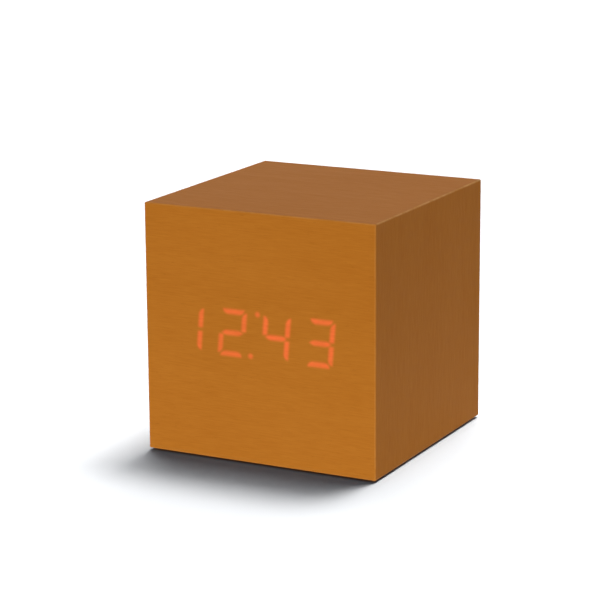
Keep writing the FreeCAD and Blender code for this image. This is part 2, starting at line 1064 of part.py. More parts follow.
def tab_slot(side, y):
    """Slot in the ceiling of the box for a contact's solder tab."""
    x = side * (bay_side - contact_thick / 2)
    width = contact_thick / 2 + tab_gap
    reach = tab_width / 2 + tab_gap
    return block(x - width, x + width, y - reach, y + reach, bay_top - contact_foot_gap, box_top)


def battery_box():
    """Black box for the cells, open below, with the rim, hinge holes and latch ledge of its door."""
    shell = block(
        -bay_side - bay_wall,
        bay_side + bay_wall,
        -bay_end - bay_wall,
        bay_end + bay_wall,
        case_bottom,
        box_top,
    )
    boss = block(-boss_side, boss_side, bay_end, boss_back, case_bottom, boss_top)
    body = join([shell, battery_cutout(0), boss] + box_lugs())
    bay = block(-bay_side, bay_side, -bay_end, bay_end, case_bottom, bay_top)
    ledge_z = door_top + door_seat_gap
    recess = block(-recess_side, recess_side, recess_front, recess_back, case_bottom, ledge_z)
    slot_side = latch_width / 2 + latch_side_gap
    tongue_slot = block(-slot_side, slot_side, bay_end, ledge_y, case_bottom, ledge_z)
    pocket = block(
        -slot_side, slot_side, bay_end + bay_wall, ledge_y, case_bottom, latch_top + latch_head_gap
    )
    undercut = block(
        -slot_side,
        slot_side,
        ledge_y,
        ledge_y + ledge_undercut,
        nib_z - nib_gap,
        nib_z - nib_gap + undercut_rise,
    )
    scoop_top = case_bottom + scoop_rise
    scoop = block(-slot_side, slot_side, ledge_y, ledge_y + scoop_reach, case_bottom, scoop_top)
    hinge_reach = door_side + hinge_pin_length + hinge_pin_end_gap
    hinge_hole = rod_x(hinge_y, hinge_z, hinge_pin_diameter + 2 * hinge_fit, -hinge_reach, hinge_reach)
    tabs = [tab_slot(1, cell_ys[0]), tab_slot(-1, cell_ys[2])]
    holes = screw_holes(box_screw_seats(), downwards, box_screw)
    body = body.cut([bay, recess, tongue_slot, pocket, undercut, scoop, hinge_hole] + tabs + holes)
    return join([body] + bay_ribs())


def bay_ribs():
    """Two ribs under the ceiling that keep the cells apart."""
    ribs = []
    for first, second in zip(cell_ys, cell_ys[1:]):
        y = (first + second) / 2
        ribs.append(block(
            -bay_side, bay_side, y - rib_thick / 2, y + rib_thick / 2, cell_z + rib_above_axis, bay_top
        ))
    room = [contact_space(side) for side in (-1, 1)]
    return [rib.cut(room) for rib in ribs]


def contact_space(side):
    """Space at an end of the bay that the ribs leave to the contacts and springs."""
    inner = side * (bay_side - contact_thick - spring_length)
    outer = side * bay_side
    return block(min(inner, outer), max(inner, outer), -bay_end, bay_end, door_top, bay_top)


def battery_cell(number):
    """One cell, its positive end turned to +X or -X in turn."""
    side = 1 if number % 2 == 0 else -1
    y = cell_ys[number]
    positive_end = side * (bay_side - contact_thick)
    shoulder = positive_end - side * cell_nub_height
    negative_end = positive_end - side * cell_length
    can = rod_x(y, cell_z, cell_diameter, min(shoulder, negative_end), max(shoulder, negative_end))
    can = can.makeFillet(cell_edge, [e for e in can.Edges if e.Closed])
    nub = rod_x(y, cell_z, cell_nub_diameter, min(shoulder, positive_end), max(shoulder, positive_end))
    return join([can, nub])


def contact_plate(side, y0, y1):
    """Flat contact against an end wall of the bay."""
    inner = side * (bay_side - contact_thick)
    outer = side * bay_side
    low = door_top + contact_foot_gap
    high = bay_top - contact_foot_gap
    return block(min(inner, outer), max(inner, outer), y0, y1, low, high)


def contact_with_tab(side, y):
    """Contact of one cell, with a tab through the ceiling for its lead."""
    flat = contact_plate(side, y - contact_width / 2, y + contact_width / 2)
    inner = side * (bay_side - contact_thick)
    outer = side * bay_side
    tab = block(
        min(inner, outer),
        max(inner, outer),
        y - tab_width / 2,
        y + tab_width / 2,
        bay_top - contact_foot_gap,
        box_top + tab_rise,
    )
    return join([flat, tab])


def positive_contact():
    return contact_with_tab(1, cell_ys[0])


def negative_contact():
    return contact_with_tab(-1, cell_ys[2])


def bridge_contact(side, first, second):
    """Contact that joins two neighbouring cells."""
    return contact_plate(side, cell_ys[first] - contact_width / 2, cell_ys[second] + contact_width / 2)


def biarc(start, start_along, end, end_along):
    """Two arcs in space that leave one point and reach the next along given directions."""
    chord = end - start
    both = start_along + end_along
    spread = 2 * (1 - start_along.dot(end_along))
    reach = (math.sqrt(chord.dot(both) ** 2 + spread * chord.dot(chord)) - chord.dot(both)) / spread
    joint = (start + end + (start_along - end_along) * reach) * 0.5
    return [arc_from(start, start_along, joint), arc_from(end, end_along * -1, joint)]


def arc_from(start, along, end):
    """Arc that leaves the start along a direction and reaches the end."""
    chord = end - start
    unit = Vector(chord).normalize()
    angle = math.acos(max(-1.0, min(1.0, along.dot(unit))))
    bulge = (along - unit * along.dot(unit)).normalize()
    middle = start + chord * 0.5 + bulge * (chord.Length / 2 * math.tan(angle / 2))
    return Part.Arc(start, middle, end)


def spring_point(turn, base, side, y):
    """Point and direction of the spring's line after so many turns, and its coil's radius."""
    share = turn / spring_turns
    radius = spring_base_radius + (spring_tip_radius - spring_base_radius) * share
    rise = (spring_length - spring_wire - 2 * spring_seat_gap) * share
    angle = 2 * math.pi * turn
    point = Vector(base + side * rise, y + radius * math.cos(angle), cell_z + radius * math.sin(angle))
    per_turn = (spring_tip_radius - spring_base_radius) / spring_turns
    climb = (spring_length - spring_wire - 2 * spring_seat_gap) / spring_turns
    along = Vector(
        side * climb,
        per_turn * math.cos(angle) - 2 * math.pi * radius * math.sin(angle),
        per_turn * math.sin(angle) + 2 * math.pi * radius * math.cos(angle),
    )
    return point, along.normalize()


def contact_spring(side, y):
    """Conical spring from the contact at one end of the bay to the flat end of a cell."""
    inward = -side
    base = side * (bay_side - contact_thick - spring_wire / 2 - spring_seat_gap)
    quarters = [spring_point(step / 4, base, inward, y) for step in range(4 * spring_turns + 1)]
    first, first_along = quarters[0]
    last, last_along = quarters[-1]
    flat_first = Vector(0, first_along.y, first_along.z).normalize()
    flat_last = Vector(0, last_along.y, last_along.z).normalize()
    quarters[0] = (first, flat_first)
    quarters[-1] = (last, flat_last)
    tail = first - flat_first * spring_wire
    edges = [Part.LineSegment(tail, first).toShape()]
    for (start, start_along), (end, end_along) in zip(quarters, quarters[1:]):
        first_arc, second_arc = biarc(start, start_along, end, end_along)
        edges.append(first_arc.toShape())
        edges.append(second_arc.toShape())
    edges.append(Part.LineSegment(last, last + flat_last * spring_wire).toShape())
    route = Part.Wire(Part.__sortEdges__(edges))
    ring = Part.Wire(Part.makeCircle(spring_wire / 2, tail, flat_first))
    return route.makePipeShell([ring], True, False), route


def least_gap(route):
    """Least space between one turn of a spring and the rest of it."""
    points = route.discretize(Number=60 * spring_turns)
    step = route.Length / (len(points) - 1)
    apart = int(math.pi * spring_tip_radius / step)
    distances = [
        points[first].distanceToPoint(points[second])
        for first in range(len(points))
        for second in range(first + apart, len(points))
    ]
    return min(distances) - spring_wire


def contact_springs():
    springs = []
    for side, y in ((-1, cell_ys[0]), (1, cell_ys[1]), (-1, cell_ys[2])):
        solid, route = contact_spring(side, y)
        print("contact spring least gap to itself", round(least_gap(route), 2))
        springs.append(solid)
    return Part.makeCompound(springs)


def battery_lead(side, y, label):
    """Lead from a contact's tab at one end of the box, inwards, up and back to the main board."""
    tab = Vector(side * (bay_side - contact_thick), y, box_top + tab_rise - lead_diameter)
    pad = Vector(side * lead_solder_x, main_board_front, control_z - lead_solder_drop)
    leave = tab - Vector(side * lead_run, 0, 0)
    enter = pad - Vector(0, lead_run, 0)
    middle = (leave + enter) * 0.5 - Vector(side * lead_bow, 0, lead_bow)
    return tube([tab, leave, middle, enter, pad], lead_diameter, label)


# Battery door


def battery_door():
    """Flat door with two hinge pins at its front edge and a sprung latch at its rear edge."""
    slab = block(-door_side, door_side, hinge_y, door_back, case_bottom, door_top)
    round_edge = rod_x(hinge_y, hinge_z, door_thick, -door_side, door_side)
    reach = door_side + hinge_pin_length
    pins = rod_x(hinge_y, hinge_z, hinge_pin_diameter, -reach, reach)
    body = join([slab, round_edge, pins] + latch_shapes())
    grooves = []
    for number in range(grip_grooves):
        y = door_back - grip_inset - number * grip_groove_pitch
        grooves.append(block(
            -grip_groove_length / 2,
            grip_groove_length / 2,
            y - grip_groove_width,
            y,
            case_bottom,
            case_bottom + grip_groove_depth,
        ))
    return body.cut(grooves)


def latch_shapes():
    """Tongue, two legs with a round head, the nib that holds the ledge and the foot for a finger."""
    side = latch_width / 2
    bend_z = case_bottom + latch_rise
    bend_y = latch_y + latch_thick + latch_slot / 2
    tongue = block(-side, side, door_back, latch_y + latch_thick, case_bottom, door_top)
    inner_leg = block(-side, side, latch_y, latch_y + latch_thick, case_bottom, bend_z)
    outer_leg = block(-side, side, latch_outer - latch_thick, latch_outer, case_bottom, bend_z)
    head = rod_x(bend_y, bend_z, latch_slot + 2 * latch_thick, -side, side)
    hollow = rod_x(bend_y, bend_z, latch_slot, -side, side)
    below = block(-side, side, latch_y, latch_outer, case_bottom, bend_z)
    nib = prism([
        Vector(-side, latch_outer, nib_z),
        Vector(-side, latch_outer + nib_reach, nib_z),
        Vector(-side, latch_outer + nib_reach, nib_z + nib_land),
        Vector(-side, latch_outer, nib_z + nib_land + nib_slope),
    ], Vector(latch_width, 0, 0))
    foot = block(-side, side, latch_outer, latch_outer + nib_reach, case_bottom, case_bottom + latch_foot)
    return [tongue, inner_leg, outer_leg, head.cut([hollow, below]), nib, foot]


def save(name, shape):
    shape.exportStep("parts/" + name + ".step")


os.makedirs("parts", exist_ok=True)

save("front_panel", front_panel())
save("top_panel", top_panel())
save("bottom_panel", bottom_panel())
save("left_panel", left_panel())
save("right_panel", right_panel())
save("front_skin", front_skin())
save("wrap_skin", wrap_skin())
save("rear_board", rear_board())
save("rear_skin", rear_skin())
save("corner_blocks", corner_blocks())
save("rear_board_screws", screw_group(rear_screw_seats(), forwards, rear_screw, True))
save("foot_pads", foot_pads())

save("display_reflector", display_reflector())
save("lit_segments", segment_group(True))
save("dark_segments", segment_group(False))
save("colon_lenses", colon_lenses())
save("segment_leds", segment_leds())
save("display_board", display_board())
save("display_standoffs", display_standoffs())
save("display_board_screws", screw_group(display_screw_seats(), forwards, display_screw))
save("display_cable", display_cable())
save("ribbon_connectors", ribbon_connectors())

save("control_plate", control_plate())
save("control_plate_screws", screw_group(plate_screw_seats(), backwards, plate_screw))
save("main_board", main_board())
save("main_board_screws", screw_group(board_screw_seats(), backwards, board_screw))
save("clock_chip", clock_chip())
save("quartz_crystal", quartz_crystal())
save("supply_capacitor", supply_capacitor())
save("set_button", set_button())
save("up_button", up_button())
save("down_button", down_button())
save("set_plunger", switch_plunger(button_xs[1]))
save("up_plunger", switch_plunger(button_xs[0]))
save("down_plunger", switch_plunger(button_xs[2]))
save("switch_bodies", switch_bodies())
save("power_socket", power_socket())
save("socket_contact_pin", socket_contact_pin())
save("alarm_buzzer", alarm_buzzer())
save("clap_microphone", clap_microphone())

save("battery_box", battery_box())
save("battery_box_screws", screw_group(box_screw_seats(), downwards, box_screw))
save("battery_door", battery_door())
for place in range(len(cell_ys)):
    save("battery_cell_" + str(place + 1), battery_cell(place))
save("positive_contact", positive_contact())
save("negative_contact", negative_contact())
save("bridge_contact_left", bridge_contact(-1, 0, 1))
save("bridge_contact_right", bridge_contact(1, 1, 2))
save("contact_springs", contact_springs())
save("battery_lead_red", battery_lead(1, cell_ys[0], "battery_lead_red"))
save("battery_lead_black", battery_lead(-1, cell_ys[2], "battery_lead_black"))
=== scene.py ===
import math

import bpy
from mathutils import Matrix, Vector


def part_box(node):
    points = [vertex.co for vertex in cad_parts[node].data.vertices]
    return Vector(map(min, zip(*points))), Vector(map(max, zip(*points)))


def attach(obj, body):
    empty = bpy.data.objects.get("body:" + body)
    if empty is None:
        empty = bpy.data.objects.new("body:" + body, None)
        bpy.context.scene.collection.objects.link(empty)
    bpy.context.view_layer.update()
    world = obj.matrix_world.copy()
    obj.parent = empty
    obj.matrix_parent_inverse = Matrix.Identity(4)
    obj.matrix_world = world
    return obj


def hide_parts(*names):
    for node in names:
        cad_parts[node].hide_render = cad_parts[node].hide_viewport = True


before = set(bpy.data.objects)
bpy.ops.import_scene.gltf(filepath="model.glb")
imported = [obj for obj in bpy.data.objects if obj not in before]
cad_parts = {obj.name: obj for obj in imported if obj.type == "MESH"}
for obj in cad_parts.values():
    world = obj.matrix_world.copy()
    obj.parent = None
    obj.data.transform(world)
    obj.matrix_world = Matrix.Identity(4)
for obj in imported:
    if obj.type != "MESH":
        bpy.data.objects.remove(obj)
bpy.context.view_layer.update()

# Camera
# It stands in front of the clock, to its right and a little above, with a long lens, so that the
# front, the top and the right side show and upright edges stay nearly upright.
camera_place = (0.28786, -0.56788, 0.19247)
camera_turn = 27.298
camera_tip = 13.636
camera_lean = -0.376
camera = bpy.data.objects.new("camera", bpy.data.cameras.new("camera"))
bpy.context.scene.collection.objects.link(camera)
camera.data.lens = 143.44
camera.data.sensor_width = 36.0
camera.data.clip_start = 0.05
camera.data.clip_end = 50.0
turned = Matrix.Rotation(math.radians(camera_turn), 3, "Z")
tipped = Matrix.Rotation(math.radians(90.0 - camera_tip), 3, "X")
leaned = Matrix.Rotation(math.radians(camera_lean), 3, "Z")
camera.location = camera_place
camera.rotation_euler = (turned @ tipped @ leaned).to_euler()
bpy.context.scene.camera = camera
bpy.context.scene.view_settings.view_transform = "Standard"


# Studio light
# A low lamp in front that leaves no gloss, a high one behind, a weak one at the left, and two behind
# that light only the floor. The room shows as white and gives the dark parts a faint cool light.
def add_node(tree, kind, inputs=(), **settings):
    """A node with its settings, and its inputs as plain values or as links."""
    made = tree.nodes.new(kind)
    for name, value in settings.items():
        setattr(made, name, value)
    for key, value in dict(inputs).items():
        if isinstance(value, bpy.types.NodeSocket):
            tree.links.new(value, made.inputs[key])
        else:
            made.inputs[key].default_value = value
    return made


def work_out(tree, operation, *values):
    """The result of one sum on numbers or sockets."""
    return add_node(tree, "ShaderNodeMath", enumerate(values), operation=operation).outputs[0]


def blend_colours(tree, share, *colours):
    """Two colours mixed by a share from 0 to 1."""
    first, second = (
        colour if isinstance(colour, bpy.types.NodeSocket) else (*colour, 1.0) for colour in colours
    )
    return add_node(
        tree, "ShaderNodeMix", {0: share, 6: first, 7: second}, data_type="RGBA"
    ).outputs[2]


def shown_to_camera(tree):
    """One where the camera sees a thing, directly, in a gloss or through a clear wall."""
    ray = add_node(tree, "ShaderNodeLightPath").outputs
    seen = work_out(tree, "MAXIMUM", ray["Is Camera Ray"], ray["Is Glossy Ray"])
    return work_out(tree, "MAXIMUM", seen, ray["Is Transmission Ray"])


lamps = (
    ("front_lamp", 3.06, 24.0, 6.0, 18.5, 0),
    ("back_lamp", 1.20, 46.0, 66.0, 178.0, 8),
    ("left_lamp", 1.10, 40.0, 12.0, -110.0, 0),
    ("broad_floor_lamp", 2.46, 44.0, 66.0, 182.0, 8),
    ("narrow_floor_lamp", 1.48, 16.0, 71.0, 167.0, 8),
)
for name, strength, spread, height, around, bounces in lamps:
    lamp = bpy.data.objects.new(name, bpy.data.lights.new(name, "SUN"))
    bpy.context.scene.collection.objects.link(lamp)
    lamp.data.energy = strength
    lamp.data.angle = math.radians(spread)
    lamp.data.cycles.max_bounces = bounces
    lamp.rotation_euler = (math.radians(90.0 - height), 0.0, math.radians(around))
bpy.data.objects["front_lamp"].visible_glossy = False

room_white = (1.0, 1.0, 1.0)
room_tint = (0.80, 1.0, 1.22)
room_light = 0.08
world = bpy.data.worlds.new("studio")
bpy.context.scene.world = world
world.use_nodes = True
room = world.node_tree
walls = room.nodes["Background"]
shown = shown_to_camera(room)
level = add_node(room, "ShaderNodeMapRange", {"Value": shown, "To Min": room_light, "To Max": 1.0})
room.links.new(level.outputs[0], walls.inputs["Strength"])
room.links.new(blend_colours(room, shown, room_tint, room_white), walls.inputs["Color"])


# Floor
# A wide sheet of pale studio paper. It shows white with the clock's shadow on it, gives back less
# light away from the clock, and from below it lets the camera see the clock's underside.
def fade(tree, value, start, end, low=0.0, high=1.0):
    """Smooth change from low to high while the value goes from start to end."""
    return add_node(
        tree,
        "ShaderNodeMapRange",
        {"Value": value, "From Min": start, "From Max": end, "To Min": low, "To Max": high},
        interpolation_type="SMOOTHSTEP",
    ).outputs[0]


def blend_shaders(tree, share, first, second):
    """Two shaders mixed by a share from 0 to 1."""
    return add_node(
        tree, "ShaderNodeMixShader", {0: share, 1: first.outputs[0], 2: second.outputs[0]}
    )


floor_size = 12.0
paper_white = (0.98, 0.99, 1.0, 1.0)
glow_near = 0.08
glow_far = 0.30
glow_most = 0.56
glow_least = 0.04
bpy.ops.object.select_all(action="DESELECT")
bpy.ops.mesh.primitive_plane_add(size=floor_size, location=(0.0, 0.0, 0.0))
floor = bpy.context.object
floor.name = "floor"
paper = bpy.data.materials.new("studio_paper")
paper.use_nodes = True
tree = paper.node_tree
tree.nodes.clear()
diffuse_depth = add_node(tree, "ShaderNodeLightPath").outputs["Diffuse Depth"]
first_bounce = work_out(tree, "LESS_THAN", diffuse_depth, 1.5)
place = add_node(tree, "ShaderNodeTexCoord").outputs["Object"]
from_clock = add_node(tree, "ShaderNodeVectorMath", {0: place}, operation="LENGTH").outputs["Value"]
falls_off = fade(tree, from_clock, glow_near, glow_far, glow_most, glow_least)
glow_back = work_out(tree, "MULTIPLY", first_bounce, falls_off)
even_paper = add_node(tree, "ShaderNodeEmission", {"Strength": glow_back})
seen_paper = add_node(tree, "ShaderNodeBsdfDiffuse", {"Color": paper_white})
from_above = blend_shaders(tree, shown_to_camera(tree), even_paper, seen_paper)
see_through = add_node(tree, "ShaderNodeBsdfTransparent")
from_below = add_node(tree, "ShaderNodeNewGeometry").outputs["Backfacing"]
both_sides = blend_shaders(tree, from_below, from_above, see_through)
add_node(tree, "ShaderNodeOutputMaterial", {"Surface": both_sides.outputs[0]})
floor.data.materials.append(paper)
for collection_name, state, lamp_names in (
    ("all_but_the_floor", "EXCLUDE", ("front_lamp", "back_lamp", "left_lamp")),
    ("only_the_floor", "INCLUDE", ("broad_floor_lamp", "narrow_floor_lamp")),
):
    lit = bpy.data.collections.new(collection_name)
    lit.objects.link(floor)
    lit.collection_objects[0].light_linking.link_state = state
    for name in lamp_names:
        bpy.data.objects[name].light_linking.receiver_collection = lit


# Wood-effect skin
# Satin foil with a printed fine grain, half a millimetre thick with its backing, wrapped round the
# mitred panels. The grain runs across the front and the top and up the two sides.
def new_group(name, takes, gives):
    """A node group with named sockets, and its two end nodes."""
    group = bpy.data.node_groups.new(name, "ShaderNodeTree")
    for socket, kind in takes:
        group.interface.new_socket(socket, in_out="INPUT", socket_type=kind)
    for socket, kind in gives:
        group.interface.new_socket(socket, in_out="OUTPUT", socket_type=kind)
    taken = group.nodes.new("NodeGroupInput").outputs
    return group, taken, group.nodes.new("NodeGroupOutput").inputs


def use_group(tree, group, **inputs):
    """The outputs of a node group placed in a material."""
    made = tree.nodes.new("ShaderNodeGroup")
    made.node_tree = group
    for key, value in inputs.items():
        socket = made.inputs[key.replace("_", " ").capitalize()]
        if isinstance(value, bpy.types.NodeSocket):
            tree.links.new(value, socket)
        else:
            socket.default_value = value
    return made.outputs


def scaled(tree, place, factors):
    """The place stretched or squeezed, by one factor or by one for each axis."""
    each = factors if isinstance(factors, tuple) else (factors, factors, factors)
    return add_node(
        tree, "ShaderNodeVectorMath", {0: place, 1: each}, operation="MULTIPLY"
    ).outputs[0]


def split_axes(tree, vector):
    """The three parts of a place or of a normal."""
    return add_node(tree, "ShaderNodeSeparateXYZ", {0: vector}).outputs


def product(tree, first, *others):
    """Several values multiplied together."""
    for other in others:
        first = work_out(tree, "MULTIPLY", first, other)
    return first


def noise(tree, place, detail=2.0, roughness=0.5, distortion=0.0):
    """Soft noise, one cell to each unit of the place."""
    return add_node(
        tree,
        "ShaderNodeTexNoise",
        {
            "Vector": place,
            "Scale": 1.0,
            "Detail": detail,
            "Roughness": roughness,
            "Distortion": distortion,
        },
    ).outputs["Fac"]


def start_finish(name, roughness=0.5, metallic=0.0, specular=0.5):
    """A material, its node tree and its shader, with the plain values set."""
    material = bpy.data.materials.new(name)
    material.use_nodes = True
    shader = material.node_tree.nodes["Principled BSDF"]
    shader.inputs["Roughness"].default_value = roughness
    shader.inputs["Metallic"].default_value = metallic
    shader.inputs["Specular IOR Level"].default_value = specular
    return material, material.node_tree, shader


def relief(tree, shader, height, depth):
    """Height in the finish, as a depth in metres."""
    bump = add_node(tree, "ShaderNodeBump", {"Height": height, "Distance": depth})
    tree.links.new(bump.outputs[0], shader.inputs["Normal"])


def dress(material, *names):
    """The finish on parts that come with the frame."""
    for name in names:
        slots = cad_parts[name].data.materials
        slots.clear()
        slots.append(material)


millimetres = 1000.0
foil_light = (0.500, 0.176, 0.0200)
foil_dark = (0.405, 0.128, 0.0110)
foil_pore = (0.20, 0.055, 0.004)
# The pale edge colour is partly wear from rubbing and partly a painted highlight.
foil_wear_and_highlight = (0.72, 0.38, 0.135)
streak_long = 6.0
streak_thick = 0.34
streak_share = 0.84
band_long = 70.0
band_thick = 5.5
band_share = 0.24
clouds_per_mm = 0.03
cloud_share = 0.16
pore_long = 1.8
pore_thick = 0.16
pore_share = 0.22
pore_sink = 0.8
grain_depth = 0.000012
# Reach, patches and strength of the pale edges of wear and painted highlight, weaker at the front and
# on faces that don't look up.
wear_highlight_starts = 0.55
wear_highlight_full = 0.1
wear_highlight_patches_per_metre = 260.0
front_wear_highlight = 0.25
other_wear_highlight = 0.85
side_wear_highlight = 0.55

foil, given, made = new_group(
    "foil_grain",
    (("Place", "NodeSocketVector"), ("Facing", "NodeSocketVector")),
    (("Tone", "NodeSocketFloat"), ("Pores", "NodeSocketFloat"), ("Height", "NodeSocketFloat")),
)
place = scaled(foil, given["Place"], millimetres)
sideways = work_out(foil, "ABSOLUTE", split_axes(foil, given["Facing"])[0])
on_side = work_out(foil, "GREATER_THAN", sideways, 0.7)


def along_grain(long, thick):
    """The place in cells that are long with the grain and thin across it."""
    across = scaled(foil, place, (1.0 / long, 1.0 / thick, 1.0 / thick))
    upward = scaled(foil, place, (1.0 / thick, 1.0 / thick, 1.0 / long))
    return add_node(
        foil, "ShaderNodeMix", {0: on_side, 4: across, 5: upward}, data_type="VECTOR"
    ).outputs[1]


streaks = noise(foil, along_grain(streak_long, streak_thick), 3.0, 0.62, 0.35)
bands = noise(foil, along_grain(band_long, band_thick), 2.0, 0.5, 1.1)
clouds = noise(foil, scaled(foil, place, clouds_per_mm), 1.0)
pores = fade(foil, noise(foil, along_grain(pore_long, pore_thick), 1.0), 0.66, 0.78)
tone = 0.0
for pattern, share in ((streaks, streak_share), (bands, band_share), (clouds, cloud_share)):
    tone = work_out(foil, "ADD", tone, work_out(foil, "MULTIPLY_ADD", pattern, share, -share / 2))
foil.links.new(work_out(foil, "ADD", tone, 0.5), made["Tone"])
foil.links.new(pores, made["Pores"])
foil.links.new(work_out(foil, "MULTIPLY_ADD", pores, -pore_sink, streaks), made["Height"])

case_low, case_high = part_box("wrap_skin")
case_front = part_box("front_skin")[0][1]
edges, given, made = new_group(
    "case_edge",
    (("Place", "NodeSocketVector"),),
    (("Distance", "NodeSocketFloat"),),
)
spot = split_axes(edges, given["Place"])
inward = []
for axis, low, high in (
    (0, case_low[0], case_high[0]),
    (1, case_front, case_high[1]),
    (2, case_low[2], case_high[2]),
):
    from_middle = work_out(edges, "SUBTRACT", spot[axis], (low + high) / 2)
    from_middle = work_out(edges, "ABSOLUTE", from_middle)
    inward.append(work_out(edges, "SUBTRACT", (high - low) / 2, from_middle))
nearer = work_out(edges, "MINIMUM", inward[0], inward[1])
farther = work_out(edges, "MAXIMUM", inward[0], inward[1])
to_edge = work_out(edges, "MAXIMUM", nearer, work_out(edges, "MINIMUM", farther, inward[2]))
edges.links.new(work_out(edges, "MULTIPLY", to_edge, millimetres), made["Distance"])


def foil_finish(name):
    """Skin: printed grain, pores, satin lacquer, paler edges of rubbing wear and painted highlight."""
    material, tree, shader = start_finish(name, specular=0.05)
    coordinates = add_node(tree, "ShaderNodeTexCoord").outputs
    place = coordinates["Object"]
    grain = use_group(tree, foil, place=place, facing=coordinates["Normal"])
    tone = fade(tree, grain["Tone"], 0.05, 0.95)
    printed = blend_colours(tree, tone, foil_dark, foil_light)
    pored = blend_colours(tree, product(tree, grain["Pores"], pore_share), printed, foil_pore)
    to_edge = use_group(tree, edges, place=place)["Distance"]
    # Paler edges: partly wear from rubbing, partly a painted highlight, strongest on upward faces.
    wear_highlight_patches = noise(tree, scaled(tree, place, wear_highlight_patches_per_metre), 3.0, 0.6)
    behind_front = work_out(tree, "SUBTRACT", split_axes(tree, place)[1], case_front)
    wear_and_highlight = product(
        tree,
        fade(tree, to_edge, wear_highlight_starts, wear_highlight_full),
        fade(tree, wear_highlight_patches, 0.3, 0.7, 0.35, 1.0),
        fade(tree, behind_front, 0.0003, 0.0016, front_wear_highlight, other_wear_highlight),
        fade(tree, split_axes(tree, coordinates["Normal"])[2], 0.0, 0.4, side_wear_highlight, 1.0),
    )
    finished = blend_colours(tree, wear_and_highlight, pored, foil_wear_and_highlight)
    tree.links.new(finished, shader.inputs["Base Color"])
    tree.links.new(fade(tree, grain["Tone"], 0.2, 0.8, 0.62, 0.54), shader.inputs["Roughness"])
    relief(tree, shader, grain["Height"], grain_depth)
    return material, tree, shader, place, grain


dress(foil_finish("wood_foil")[0], "wrap_skin", "rear_skin")


# Light of the digits
# The lamps behind the front shine through its skin, so the time shows as soft red bars on the wood.
# The bars have the sizes of the resin bars behind the skin, here in millimetres.
digit_pitch = 12.95
digit_slant = math.tan(math.radians(4.9))
column_half = 6.6 / 2
row_rise = 5.75
bar_half = 1.4 / 2
bar_gap_half = 0.4 / 2
tip_cut = 0.72
waist_cut = 0.5
digit_side = column_half + bar_half
digit_top = row_rise + bar_half
colon_radius = 0.68
colon_slant = math.tan(math.radians(10.8))
light_spread = 0.55
shown_time = ("bc", "abdeg", "bcfg", "abcdg")
digit_shares = (0.90, 0.90, 1.0, 0.98)
dot_share = 0.80
red_light = (0.46, 0.011, 0.025)
no_light = (0.0, 0.0, 0.0)
patches_per_metre = 420.0
weakest_patch = 0.86
weakest_streak = 0.93

bars, given, made = new_group(
    "digit_bars",
    (
        ("Across", "NodeSocketFloat"),
        ("Up", "NodeSocketFloat"),
        *((f"Bar {letter}", "NodeSocketFloat") for letter in "abcdefg"),
    ),
    (("Light", "NodeSocketFloat"),),
)


def soft_inside(tree, *distances):
    """How much light falls within several edges, each blurred by the skin."""
    return product(tree, *(fade(tree, distance, light_spread, -light_spread) for distance in distances))


def past_mitre(tree, first, second):
    """Distance past a mitre between two sides."""
    return work_out(tree, "MULTIPLY", work_out(tree, "SUBTRACT", first, second), math.sqrt(0.5))


beside = work_out(bars, "ABSOLUTE", given["Across"])
from_column = work_out(bars, "ABSOLUTE", work_out(bars, "SUBTRACT", beside, column_half))
to_side = work_out(bars, "SUBTRACT", digit_side, beside)
on_right = work_out(bars, "GREATER_THAN", given["Across"], 0.0)
on_left = work_out(bars, "SUBTRACT", 1.0, on_right)
bar_lights = {}
for towards, level_letter, right_letter, left_letter in ((1.0, "a", "b", "f"), (-1.0, "d", "c", "e")):
    above = work_out(bars, "MULTIPLY", given["Up"], towards)
    to_top = work_out(bars, "SUBTRACT", digit_top, above)
    past_corner = past_mitre(bars, to_side, to_top)
    from_row = work_out(bars, "ABSOLUTE", work_out(bars, "SUBTRACT", above, row_rise))
    bar_lights[level_letter] = soft_inside(
        bars,
        work_out(bars, "SUBTRACT", from_row, bar_half),
        work_out(bars, "SUBTRACT", bar_gap_half, past_corner),
        work_out(bars, "SUBTRACT", tip_cut, to_side),
    )
    upright = soft_inside(
        bars,
        work_out(bars, "SUBTRACT", from_column, bar_half),
        work_out(bars, "ADD", past_corner, bar_gap_half),
        work_out(bars, "SUBTRACT", tip_cut, to_top),
        work_out(bars, "SUBTRACT", waist_cut, above),
    )
    bar_lights[right_letter] = work_out(bars, "MULTIPLY", upright, on_right)
    bar_lights[left_letter] = work_out(bars, "MULTIPLY", upright, on_left)
off_middle = work_out(bars, "ABSOLUTE", given["Up"])
to_point = work_out(bars, "SUBTRACT", column_half, beside)
bar_lights["g"] = soft_inside(
    bars,
    work_out(bars, "SUBTRACT", off_middle, bar_half),
    work_out(bars, "ADD", past_mitre(bars, off_middle, to_point), bar_gap_half),
)
total = 0.0
for letter, bar_light in bar_lights.items():
    total = work_out(bars, "MULTIPLY_ADD", bar_light, given[f"Bar {letter}"], total)
bars.links.new(total, made["Light"])

